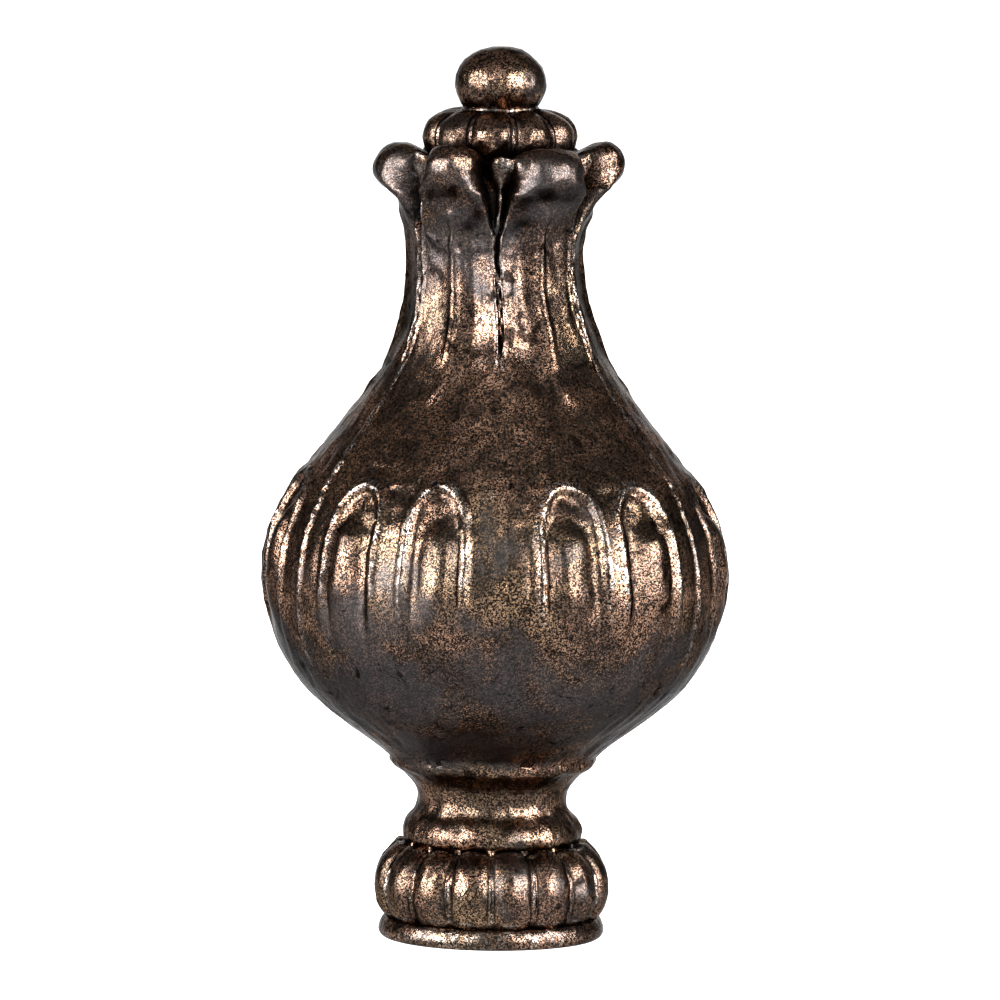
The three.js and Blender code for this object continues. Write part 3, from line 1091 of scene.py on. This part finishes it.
@dataclass
class LeafCrown(LeafCarving):
    """The crown of leaf tips that roll out and over, with gaps between them down to a ribbed core."""

    neck_radius: float = 8.4
    neck_level: float = 53.5
    tip_radius: float = 8.93
    tip_level: float = 55
    top_radius: float = 7.2
    top_level: float = 56.75
    tip_half_width: float = 20
    tip_breadth: float = 3
    tip_sink: float = 0.22
    dish_depth: float = 0.65
    dish_level: float = 53.0
    dish_reach: float = 1.5
    core_radius: float = 5.85
    core_level: float = 54.7
    cup_radius: float = 5.1
    cup_level: float = 55.6
    rib_height: float = 0.45
    rib_half_width: float = 4
    blade_height: float = 1.35
    blade_half_width: float = 16
    blade_turn: float = 2
    blade_rise: float = 0.55
    lump_height: float = 0.3
    lump_angle: float = 7

    ROWS = 40

    def place(self, size: SimpleNamespace, curves: Curves, turn: Field, row: Field) -> Spot:
        """Places a point between the profile of a leaf's tip and that of the gap beside it.

        Args:
            size: The section's sizes, as fields of its tree.
            curves: The groups that draw curves.
            turn: The point's angle round the axis.
            row: Its row in the section.

        Returns:
            The place of the point.
        """
        share = ramp(row, 0.0, self.ROWS)
        leaf_half = FULL_TURN / 2 / size.leaves
        offset = from_middle(turn, size.leaf_turn, leaf_half * 2)
        broad = self.breadth(self.leaf_number(size, turn))
        tip_width = size.tip_half_width + size.tip_breadth * broad
        closing = 1.0 - ramp(share, 0.0, 0.5)
        half_width = blend(tip_width, leaf_half, closing * closing)
        roundness = ease(5.0, 2.0, share, 0.0, 0.5)
        across = calculate("MINIMUM", offset / half_width, 1.0)
        swell = (1.0 - across ** roundness) ** (1.0 / roundness)
        gap = self.gap(size, curves, share, turn)
        tip = curves.profile(
            share,
            (size.crown_radius, size.crown_level),
            ((size.crown_radius + 0.12, size.neck_level - 1.9), (size.neck_radius, size.neck_level)),
            ((size.tip_radius, size.neck_level + 0.8), (size.tip_radius, size.tip_level)),
            ((size.tip_radius, size.top_level), (size.top_radius, size.top_level)),
            ((size.cup_radius + 0.7, size.top_level), (size.cup_radius, size.cup_level)),
        )
        radius, level, crest = (blend(low, high, swell) for low, high in zip(gap, [*tip, 0.0]))
        relief, seams = self.carving(size, turn, offset, half_width, radius, level)
        sink = size.tip_sink * broad * ease(0.0, 1.0, radius, size.core_radius, size.tip_radius)
        sink = sink * ease(0.0, 1.0, share, 0.0, 0.5)
        hollow = bump(level, size.dish_level, size.dish_reach) * ease(1.0, 0.0, across, 0.25, 0.85)
        dish = size.dish_depth * hollow * ease(1.0, 0.0, share, 0.4, 0.6)
        relief = relief * ease(1.0, 0.0, share, 0.25, 0.5)
        return Spot(turn, radius + relief - dish, level - sink, crest + seams)

    def gap(self, size: SimpleNamespace, curves: Curves, share: Field, turn: Field) -> list[Field]:
        """The core between two leaf tips, with a rib that widens into the lumpy tip of a leaf behind them.

        Args:
            size: The section's sizes.
            curves: The groups that draw curves.
            share: The share of the way up.
            turn: The turn.

        Returns:
            The radius and the level, and the crests and grooves.
        """
        radius, level = curves.profile(
            share,
            (size.crown_radius, size.crown_level),
            ((size.core_radius, size.crown_level + 1.0), (size.core_radius, size.neck_level)),
            ((size.core_radius, size.neck_level + 0.3), (size.core_radius, size.core_level)),
            ((size.core_radius, size.cup_level), (size.cup_radius + 0.5, size.cup_level)),
            ((size.cup_radius + 0.3, size.cup_level), (size.cup_radius, size.cup_level)),
        )
        pitch = FULL_TURN / size.leaves
        widening = ease(0.0, 1.0, share, 0.2, 0.6)
        to_middle = from_middle(turn, size.leaf_turn + pitch / 2 + size.blade_turn * widening, pitch)
        start = ease(0.0, 1.0, share, 0.0, 0.15)
        upright = start * ease(1.0, 0.0, share, 0.66, 0.95)
        half_width = blend(size.rib_half_width, size.blade_half_width, widening)
        blade = upright * bump(to_middle, 0.0, half_width)
        lumps = upright * widening * bump(to_middle, size.lump_angle, size.lump_angle * 0.8)
        out = blend(size.rib_height, size.blade_height, widening) * blade + size.lump_height * lumps
        # The rib, blade and lumps are worn pale, which also paints highlights; the core round them between
        # the tips is darkened as painted shade.
        crest = calculate("MAXIMUM", blade, lumps) * 1.7 - start * 0.7
        return [radius + out, level + size.blade_rise * widening * blade, crest]


@dataclass
class LobedCollar(Section):
    """The collar of round lobes over the cup of leaf tips."""

    lobes: float = 10
    lobe_turn: float = 29
    foot_radius: float = 4.85
    foot_level: float = 55.6
    radius: float = 5.58
    level: float = 57.2
    top_level: float = 59.1
    top_radius: float = 2.9
    crease: float = 0.62
    lobe_roundness: float = 2.3
    fillet_height: float = 0.24
    fillet_reach: float = 0.16

    ROWS = 16

    def place(self, size: SimpleNamespace, curves: Curves, turn: Field, row: Field) -> Spot:
        """Places a point of the lobes.

        Args:
            size: The section's sizes, as fields of its tree.
            curves: The groups that draw curves.
            turn: The point's angle round the axis.
            row: Its row in the section.

        Returns:
            The place of the point.
        """
        share = ramp(row, 0.0, self.ROWS)

        def side(inset: Number, drop: Number) -> list[Field]:
            """The profile of a lobe's crest, or of the crease beside it.

            Args:
                inset: How far it lies inside the crest.
                drop: How far its top lies below the crest's.

            Returns:
                The radius and the level.
            """
            widest = size.radius - inset
            top = size.top_level - drop
            return curves.profile(
                share,
                (size.foot_radius - drop, size.foot_level),
                ((widest, size.foot_level + 0.7), (widest, size.level)),
                ((widest, top), (size.top_radius, top)),
            )

        crest = side(0.0, 0.0)
        crease = side(size.crease, 0.2)
        radius, level = lobes_round(turn, size.lobes, size.lobe_turn, size.lobe_roundness, crease, crest)
        pitch = FULL_TURN / size.lobes
        to_crease = calculate("RADIANS", from_middle(turn, size.lobe_turn + pitch / 2, pitch)) * size.radius
        # The fillets in the creases are worn pale, which also paints highlights.
        fillet = bump(to_crease, 0.0, size.fillet_reach) * bump(share, 0.5, 0.5)
        # Painted shade: a dark band beside each fillet.
        beside = bump(to_crease, size.fillet_reach * 1.5, size.fillet_reach)
        # Painted shade also darkens the collar's foot, where it meets the crown.
        marks = fillet * 1.6 - beside - ease(1.0, 0.0, share, 0.0, 0.15)
        return Spot(turn, radius + size.fillet_height * fillet, level, marks)


@dataclass
class BallKnob(Section):
    """The ball on top, a little flattened, on a thin bead."""

    seat_radius: float = 2.62
    seat_level: float = 59.1
    bead_radius: float = 2.74
    bead_height: float = 0.17
    radius: float = 3.25
    level: float = 60.85
    top_level: float = 63.5

    BEAD_ROWS = 3
    BALL_ROWS = 14
    ROWS = BEAD_ROWS + BALL_ROWS

    def place(self, size: SimpleNamespace, curves: Curves, turn: Field, row: Field) -> Spot:
        """Places a point of the bead or, above it, of the ball.

        Args:
            size: The section's sizes, as fields of its tree.
            curves: The groups that draw curves.
            turn: The point's angle round the axis.
            row: Its row in the section.

        Returns:
            The place of the point.
        """
        bead_top = size.seat_level + size.bead_height
        bead = curves.profile(
            ramp(row, 0.0, self.BEAD_ROWS),
            (size.bead_radius, size.seat_level - 0.03),
            ((size.bead_radius, bead_top), (size.seat_radius, bead_top)),
        )
        ball = curves.profile(
            ramp(row, self.BEAD_ROWS, self.ROWS),
            (size.seat_radius, bead_top),
            ((size.radius, size.seat_level + 0.9), (size.radius, size.level)),
            ((size.radius, size.top_level), (0.0, size.top_level)),
        )
        # The bead under the ball is worn pale all round, which also paints a highlight on it.
        return Spot(turn, *choose(row, self.BEAD_ROWS + 1, [*bead, 1.0], [*ball, 0.0]))


# Finishes

class MaterialTree:
    """The node tree of a material, with fields for its masks."""

    def __init__(self, tree: bpy.types.NodeTree) -> None:
        """Keeps the tree.

        Args:
            tree: An empty shader tree.
        """
        self.tree = tree

    def node(self, kind: str, inputs: Mapping[Any, Any], **options: Any) -> bpy.types.Node:
        """Adds a node."""
        return add_node(self.tree, kind, inputs, **options)

    def place(self) -> Field:
        """The place on the piece, in millimetres."""
        coordinates = self.node("ShaderNodeTexCoord", {}).outputs["Object"]
        return scaled(Field(self.tree, coordinates), 1.0 / MILLIMETRE)

    def noise(
        self, place: Any, grain: Number, detail: float, roughness: float = 0.5, stir: float = 0.0
    ) -> Field:
        """Cloudy noise from 0 to 1.

        Args:
            place: The place on the piece, in millimetres.
            grain: The size of its clouds in millimetres.
            detail: How many finer layers it has.
            roughness: How strong the finer layers are.
            stir: How much its clouds are bent.

        Returns:
            The noise.
        """
        inputs = {
            "Vector": place,
            "Scale": 1.0 / grain,
            "Detail": detail,
            "Roughness": roughness,
            "Distortion": stir,
        }
        return Field(self.tree, self.node("ShaderNodeTexNoise", inputs).outputs[0])

    def moved(self, place: Any, shift: Sequence[float]) -> bpy.types.NodeSocket:
        """A place shifted, for a noise of its own."""
        return self.node("ShaderNodeMapping", {0: place, "Location": shift}).outputs[0]

    def tint(self, under: Any, over: Any, share: Number) -> bpy.types.NodeSocket:
        """Lays one colour over another by a mask.

        Args:
            under: The colour below, a socket or four numbers.
            over: The colour above.
            share: How much of it shows.

        Returns:
            The mixed colour.
        """
        node = self.node("ShaderNodeMix", {0: share, 6: under, 7: over}, data_type="RGBA")
        return node.outputs[2]


def colour(red: float, green: float, blue: float) -> Colour:
    """An opaque colour.

    Args:
        red: Its red as a display value from 0 to 255.
        green: Its green.
        blue: Its blue.

    Returns:
        The colour in linear light.
    """
    def linear(value: float) -> float:
        """A display value as linear light."""
        share = value / 255
        return share / 12.92 if share <= 0.04045 else ((share + 0.055) / 1.055) ** 2.4

    return (linear(red), linear(green), linear(blue), 1.0)


@dataclass(frozen=True)
class AntiqueBronze:
    """Dark bronze patina: oxide strewn with bare copper, charcoal clouds, pale crests of wear and painted
    highlight, dark grooves of patina and painted shade.
    """

    name: str = "antique_bronze"
    oxide: Colour = colour(42, 38, 36)
    charcoal: Colour = colour(54, 53, 54)
    copper: Colour = colour(150, 117, 97)
    gold: Colour = colour(148, 121, 96)
    # Pale worn metal on the crests; the same colour paints highlights on rims, fillets, lips, beads and the
    # ball's bead.
    rubbed: Colour = colour(186, 172, 162)
    pitted: Colour = colour(24, 20, 18)
    # Near-black: stains and cracks, and in grooves, crevices and the screw hole patina together with painted
    # shade.
    grime: Colour = colour(5, 4, 4)
    edge_tint: Colour = (0.45, 0.45, 0.45, 1.0)
    cloud_size: float = 7.0
    gold_size: float = 9.0
    stain_size: float = 2.6
    blotch_size: float = 1.8
    gap_size: float = 0.6
    fleck_size: float = 0.2
    speck_size: float = 0.1
    crack_size: float = 3.5
    brownness: float = 0.04
    relief: float = 0.12
    dents: float = 0.25

    def make(self) -> bpy.types.Material:
        """Builds the material.

        Returns:
            The finished material.
        """
        material = bpy.data.materials.new(self.name)
        material.use_nodes = True
        tree = material.node_tree
        tree.nodes.clear()
        kit = MaterialTree(tree)
        place = kit.place()
        masks = self.masks(kit, place)
        height = masks.grain + masks.clouds * 0.6 - masks.cracks * 0.2
        relief = {"Strength": self.dents, "Distance": self.relief * MILLIMETRE, "Height": height}
        look = {
            "Base Color": self.base(kit, place, masks),
            "Metallic": 1.0,
            "Specular Tint": self.edge_tint,
            "Roughness": self.roughness(masks),
            "Normal": kit.node("ShaderNodeBump", relief).outputs[0],
        }
        shader = kit.node("ShaderNodeBsdfPrincipled", look)
        output = kit.node("ShaderNodeOutputMaterial", {})
        tree.links.new(shader.outputs[0], output.inputs["Surface"])
        return material

    def masks(self, kit: MaterialTree, place: Field) -> SimpleNamespace:
        """Where each part of the patina shows, from 0 to 1.

        Args:
            kit: The material's tree.
            place: The place on the piece, in millimetres.

        Returns:
            The noises clouds and grain, and the masks charred, rubbed (worn crests and painted highlights),
            pits, bare, cracks and dull (stains, cracks, and hollows darkened with patina and painted shade).
        """
        crest = Field(kit.tree, kit.node("ShaderNodeAttribute", {}, attribute_name=CREST).outputs["Fac"])
        level = Field(kit.tree, kit.node("ShaderNodeSeparateXYZ", {0: place}).outputs[2])
        clouds = kit.noise(place, self.cloud_size, 6.0, 0.65, 0.6)
        soot = self.soot(level)
        charred = ease(0.0, 1.0, clouds + soot, 0.46, 0.62)
        coarse = kit.noise(kit.moved(place, (5.0, 11.0, 23.0)), self.fleck_size, 3.0, 0.7)
        fine = kit.noise(kit.moved(place, (17.0, 3.0, 8.0)), self.speck_size, 2.0, 0.7)
        grain = coarse * 0.4 + fine * 0.6
        pits = ease(0.0, 1.0, grain, 0.545, 0.485) * (1.0 - charred * 0.45)

        gaps = kit.noise(kit.moved(place, (2.0, 29.0, 7.0)), self.gap_size, 2.0)
        # Crests are worn pale where the crest attribute is high, which also paints highlights, broken up by
        # gaps.
        whole = calculate("MAXIMUM", ease(0.0, 1.0, gaps, 0.45, 0.57), ease(0.0, 0.8, crest, 1.0, 1.8))
        rubbed = ease(0.0, 1.0, crest, 0.3, 0.9) * whole
        stains = kit.noise(kit.moved(place, (13.0, 19.0, 2.0)), self.stain_size, 4.0, 0.6)
        worn = ease(0.35, 1.0, stains, 0.42, 0.58)
        flecks = ease(0.08, 1.0, grain - soot * 0.3, 0.47, 0.57) * (1.0 - charred * 0.75) * worn

        cracks = self.cracks(kit, place)
        # Grooves, crevices and the screw hole, where the crest attribute is below 0, are darkened nearly to
        # black: patina in the hollows and painted shade.
        hollow_grime_and_shade = ease(0.0, 1.0, crest, -0.1, -0.8)
        blotches = kit.noise(kit.moved(place, (43.0, 5.0, 37.0)), self.blotch_size, 5.0, 0.6, 0.5)
        blotted = ease(0.0, 0.9, blotches + bump(level, 46.0, 9.0) * 0.08, 0.6, 0.7)
        return SimpleNamespace(
            clouds=clouds,
            grain=grain,
            charred=charred,
            rubbed=rubbed,
            pits=pits,
            bare=calculate("MAXIMUM", flecks, rubbed * 0.32),
            cracks=cracks,
            dull=calculate("MAXIMUM", blotted, calculate("MAXIMUM", hollow_grime_and_shade, cracks * 0.8)),
        )

    def base(self, kit: MaterialTree, place: Field, masks: SimpleNamespace) -> bpy.types.NodeSocket:
        """The patina's colour: oxide and charcoal, bare metal and pale crests with painted highlights over
        them, pits, stains, cracks and darkened hollows with painted shade on top.

        Args:
            kit: The material's tree.
            place: The place on the piece, in millimetres.
            masks: Where each part of the patina shows.

        Returns:
            The colour.
        """
        gilt = kit.noise(kit.moved(place, (31.0, 7.0, 3.0)), self.gold_size, 6.0, 0.65)
        metal = kit.tint(self.copper, self.gold, ease(0.0, 1.0, gilt, 0.48, 0.62))
        metal = kit.tint(metal, self.rubbed, masks.rubbed)
        patina = kit.tint(self.oxide, self.charcoal, masks.charred)
        mottled = kit.tint(patina, metal, masks.bare)
        return kit.tint(kit.tint(mottled, self.pitted, masks.pits), self.grime, masks.dull)

    def roughness(self, masks: SimpleNamespace) -> Field:
        """How matt the patina is: bare metal least, stains, cracks and the hollows darkened with painted
        shade most.
        """
        return blend(0.19, 0.14, masks.bare) + masks.charred * 0.06 + masks.pits * 0.04 + masks.dull * 0.15

    def soot(self, level: Field) -> Field:
        """How much more or less charcoal a level has: more in the crown and under the belly, less between.

        Args:
            level: The level on the piece, in millimetres.

        Returns:
            What the level adds to the clouds.
        """
        crown = bump(level, 52.0, 7.0) * 0.13
        under = bump(level, 18.5, 8.0) * 0.19
        shoulder = bump(level, 38.0, 8.0) * 0.1
        return crown + under - shoulder - self.brownness

    def cracks(self, kit: MaterialTree, place: Field) -> Field:
        """Thin dark lines that run here and there over the patina.

        Args:
            kit: The material's tree.
            place: The place on the piece, in millimetres.

        Returns:
            1 on a line and 0 beside it.
        """
        waves = kit.noise(kit.moved(place, (3.0, 41.0, 13.0)), self.crack_size, 3.0, 0.6, 1.2)
        here = kit.noise(kit.moved(place, (9.0, 1.0, 5.0)), self.crack_size, 1.0)
        return bump(waves, 0.5, 0.012) * ease(0.0, 1.0, here, 0.5, 0.6)


@dataclass(frozen=True)
class PaleFloor:
    """The plain floor of the studio: white to the camera, dim in reflections, and see-through from below."""

    half_width: float = 4000
    shade: Colour = colour(238, 238, 238)
    dim_shade: Colour = colour(140, 140, 140)
    dim_glow: float = 0.85
    glow: float = 1.0

    def make(self) -> bpy.types.Object:
        """Builds the floor at the level of the finial's underside.

        Returns:
            The floor.
        """
        reach = self.half_width * MILLIMETRE
        mesh = bpy.data.meshes.new("floor")
        corners = [(-reach, -reach, 0), (reach, -reach, 0), (reach, reach, 0), (-reach, reach, 0)]
        mesh.from_pydata(corners, [], [(0, 1, 2, 3)])
        mesh.materials.append(self.material())
        floor = bpy.data.objects.new("floor", mesh)
        bpy.context.scene.collection.objects.link(floor)
        return floor

    def material(self) -> bpy.types.Material:
        """Builds the floor's material.

        Returns:
            The finished material.
        """
        material = bpy.data.materials.new("pale_floor")
        material.use_nodes = True
        tree = material.node_tree
        tree.nodes.clear()
        kit = MaterialTree(tree)
        seen = kit.node("ShaderNodeLightPath", {}).outputs["Is Camera Ray"]
        shade = kit.tint(self.dim_shade, self.shade, seen)
        glow = blend(self.dim_glow, self.glow, Field(tree, seen))
        look = {
            "Base Color": shade,
            "Roughness": 0.8,
            "Emission Color": self.shade,
            "Emission Strength": glow,
        }
        lit = kit.node("ShaderNodeBsdfPrincipled", look)
        behind = kit.node("ShaderNodeNewGeometry", {}).outputs["Backfacing"]
        clear = kit.node("ShaderNodeBsdfTransparent", {})
        either = kit.node("ShaderNodeMixShader", {0: behind, 1: lit.outputs[0], 2: clear.outputs[0]})
        output = kit.node("ShaderNodeOutputMaterial", {})
        tree.links.new(either.outputs[0], output.inputs["Surface"])
        return material


# The casting as a whole

@dataclass
class CastingSurface:
    """What the mould leaves on the whole skin: lines that wander, slow unevenness and a fine ripple."""

    wander: float = 0.22
    wander_size: float = 3.0
    waver: float = 0.24
    waver_size: float = 1.0
    uneven_height: float = 0.09
    uneven_size: float = 6.0
    ripple_height: float = 0.035
    ripple_size: float = 1.4
    bend: float = 0.3
    bend_level: float = 49.5
    bend_reach: float = 7
    flat_below: float = 0.25
    weld: float = 0.0006

    SHARP_ANGLE = 50.0

    def finish(self, tree: SkinTree, parts: Sequence[Any], unit: float) -> bpy.types.NodeSocket:
        """Welds the parts into one skin and makes it uneven.

        Args:
            tree: The tree to build in.
            parts: The meshes that make up the skin.
            unit: Metres in a millimetre of the model.

        Returns:
            The welded skin, smooth.
        """
        size = SimpleNamespace(**tree.sizes(self))
        joined = tree.tree.nodes.new("GeometryNodeJoinGeometry")
        for part in parts:
            tree.tree.links.new(part, joined.inputs[0])
        welded = {"Geometry": joined.outputs[0], "Distance": size.weld * unit}
        skin = tree.mesh("GeometryNodeMergeByDistance", welded)
        place = scaled(tree.value("GeometryNodeInputPosition"), 1.0 / unit)
        level = Field(tree.tree, add_node(tree.tree, "ShaderNodeSeparateXYZ", {0: place}).outputs[2])
        swell = self.noise(place, size.uneven_size) * size.uneven_height
        ripple = self.noise(place, size.ripple_size) * size.ripple_height
        lift = (swell + ripple) * ease(0.0, unit, level, size.flat_below, size.flat_below * 4)
        shift = scaled(tree.value("GeometryNodeInputNormal"), lift)
        skin = tree.mesh("GeometryNodeSetPosition", {"Geometry": skin, "Offset": shift})
        free = ease(0.0, unit, level, size.flat_below, size.flat_below * 8)
        drift = self.aside(place, size.wander_size, size.wander * free)
        drift = vector_math("ADD", drift, self.aside(place, size.waver_size, size.waver * free))
        lean = calculate("MULTIPLY", bump(level, size.bend_level, size.bend_reach), size.bend * unit * -1.0)
        bent = Field(tree.tree, add_node(tree.tree, "ShaderNodeCombineXYZ", {"X": lean}).outputs[0])
        drift = vector_math("ADD", drift, bent)
        skin = tree.mesh("GeometryNodeSetPosition", {"Geometry": skin, "Offset": drift})
        angle = tree.value("GeometryNodeInputMeshEdgeAngle")
        soft = calculate("LESS_THAN", angle, math.radians(self.SHARP_ANGLE))
        skin = tree.mesh("GeometryNodeSetShadeSmooth", {0: skin, "Shade Smooth": True}, domain="FACE")
        return tree.mesh("GeometryNodeSetShadeSmooth", {0: skin, "Shade Smooth": soft}, domain="EDGE")

    def aside(self, place: Field, grain: Number, reach: Number) -> Field:
        """A shift that varies over the skin.

        Args:
            place: The place on the piece, in millimetres.
            grain: How far apart the shifts differ, in millimetres.
            reach: How long the shift is.

        Returns:
            The shift, a vector.
        """
        inputs = {"Vector": place, "Scale": 1.0 / grain, "Detail": 1.0}
        cloud = Field(place.tree, add_node(place.tree, "ShaderNodeTexNoise", inputs).outputs["Color"])
        return scaled(vector_math("SUBTRACT", cloud, (0.5, 0.5, 0.5)), reach)

    def noise(self, place: Field, grain: Number) -> Field:
        """Cloudy noise from about -1 to 1.

        Args:
            place: The place on the piece, in millimetres.
            grain: The size of its clouds in millimetres.

        Returns:
            The noise.
        """
        inputs = {"Vector": place, "Scale": 1.0 / grain, "Detail": 1.0}
        node = add_node(place.tree, "ShaderNodeTexNoise", inputs)
        return Field(place.tree, node.outputs[0]) * 2 - 1.0


class Casting:
    """The finial as cast: all its sections in one skin, and its finish."""

    COLUMNS = 432

    def __init__(self) -> None:
        """Sets up the sections from the bottom up."""
        self.hole = ScrewHole()
        self.foot = GadroonedFoot()
        self.knob = BallKnob()
        self.sections = [self.foot, CoveAndFlange(), LeafedBody(), LeafCrown(), LobedCollar(), self.knob]
        self.surface = CastingSurface()
        self.finish = AntiqueBronze()

    def build(self) -> bpy.types.Object:
        """Builds and dresses the casting in place of its solid.

        Returns:
            The finished piece.
        """
        low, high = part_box(NODE)
        unit = (high.z - low.z) / self.knob.top_level
        tree = SkinTree("finial_skin")
        parts = [
            tree.skin(self.sections, self.COLUMNS, unit),
            tree.skin([self.hole], self.hole.COLUMNS, unit),
            self.hole.sole(tree, self.foot.sole_radius, self.COLUMNS, unit),
        ]
        skin = self.surface.finish(tree, parts, unit)
        skin = tree.mesh("GeometryNodeRealizeInstances", {0: skin})
        skin = tree.mesh("GeometryNodeSetMaterial", {0: skin, "Material": self.finish.make()})
        tree.give({"Geometry": skin})
        piece = self.realise(tree)
        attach(piece, BODY)
        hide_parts(NODE)
        return piece

    def realise(self, tree: SkinTree) -> bpy.types.Object:
        """Evaluates the tree once and keeps its plain mesh.

        Args:
            tree: The finished tree.

        Returns:
            An object at the origin with the mesh and no modifier.
        """
        piece = bpy.data.objects.new("finial_casting", bpy.data.meshes.new("finial_casting"))
        bpy.context.scene.collection.objects.link(piece)
        modifier = piece.modifiers.new("skin", "NODES")
        modifier.node_group = tree.tree
        for identifier, value in tree.values.items():
            modifier[identifier] = value
        evaluated = piece.evaluated_get(bpy.context.evaluated_depsgraph_get())
        mesh = bpy.data.meshes.new_from_object(evaluated)
        mesh.name = piece.name
        piece.modifiers.remove(modifier)
        empty, piece.data = piece.data, mesh
        bpy.data.meshes.remove(empty)
        return piece


# Studio

class Side(Enum):
    """A side of the camera."""

    LEFT = -1
    RIGHT = 1


@dataclass(frozen=True)
class SoftBox:
    """A large soft light that shows in reflections and not to the camera."""

    name: str
    turn: float
    elevation: float = 17
    distance: float = 650
    width: float = 680
    height: float = 400
    power: float = 18

    def make(self, aim: Vector) -> bpy.types.Object:
        """Sets up the light.

        Args:
            aim: The place it points at.

        Returns:
            The light.
        """
        lamp = bpy.data.lights.new(self.name, "AREA")
        lamp.shape = "RECTANGLE"
        lamp.size = self.width * MILLIMETRE
        lamp.size_y = self.height * MILLIMETRE
        lamp.energy = self.power
        light = bpy.data.objects.new(lamp.name, lamp)
        bpy.context.scene.collection.objects.link(light)
        turn = math.radians(self.turn)
        rise = math.radians(self.elevation)
        away = Vector((math.sin(turn) * math.cos(rise), -math.cos(turn) * math.cos(rise), math.sin(rise)))
        light.location = aim + away * self.distance * MILLIMETRE
        light.rotation_euler = (-away).to_track_quat("-Z", "Y").to_euler()
        light.visible_camera = False
        return light


@dataclass(frozen=True)
class PhotoCamera:
    """A long lens a little above the finial."""

    distance: float = 600
    height: float = 90
    aim_level: float = 31.25
    aside: float = 0.3
    roll: float = 0.67
    seen_width: float = 71.1

    def make(self) -> bpy.types.Object:
        """Sets up the camera and makes it the scene's.

        Returns:
            The camera.
        """
        data = bpy.data.cameras.new("camera")
        camera = bpy.data.objects.new("camera", data)
        bpy.context.scene.collection.objects.link(camera)
        aim = Vector((self.aside, 0.0, self.aim_level)) * MILLIMETRE
        stand = Vector((self.aside, -self.distance, self.height)) * MILLIMETRE
        look = (aim - stand).to_track_quat("-Z", "Y")
        camera.location = stand
        camera.rotation_mode = "QUATERNION"
        camera.rotation_quaternion = look @ Quaternion((0.0, 0.0, 1.0), math.radians(self.roll))
        data.lens = data.sensor_width * (aim - stand).length / (self.seen_width * MILLIMETRE)
        data.clip_start = 0.01
        data.clip_end = 50.0
        bpy.context.scene.camera = camera
        return camera


class Studio:
    """Floor, lights, surroundings and camera."""

    SURROUNDINGS = 0.36
    LIGHT_TURN = 56.0
    BACKDROP = SoftBox(
        "backdrop", FULL_TURN / 2, elevation=20, distance=700, width=800, height=480, power=1.4
    )
    FRONT_FILL = SoftBox("front_fill", 0, elevation=36, distance=700, width=620, height=1000, power=2.3)

    def build(self, aim: Vector) -> None:
        """Sets the studio up.

        Args:
            aim: The place that the lights point at.
        """
        PaleFloor().make()
        for side in Side:
            SoftBox(f"softbox_{side.name.lower()}", self.LIGHT_TURN * side.value).make(aim)
        self.BACKDROP.make(aim)
        self.FRONT_FILL.make(aim)
        PhotoCamera().make()
        world = bpy.data.worlds.new("surroundings")
        world.use_nodes = True
        background = world.node_tree.nodes["Background"]
        background.inputs["Color"].default_value = (1.0, 1.0, 1.0, 1.0)
        background.inputs["Strength"].default_value = self.SURROUNDINGS
        scene = bpy.context.scene
        scene.world = world
        scene.view_settings.view_transform = "Standard"


def main() -> None:
    """Builds the casting and the studio round it."""
    logging.basicConfig(level=logging.INFO, format="%(name)s: %(message)s")
    piece = Casting().build()
    log.info("%s: %d faces", piece.name, len(piece.data.polygons))
    low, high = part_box(NODE)
    Studio().build((low + high) / 2)
    log.info("studio ready")


if __name__ == "__main__":
    main()
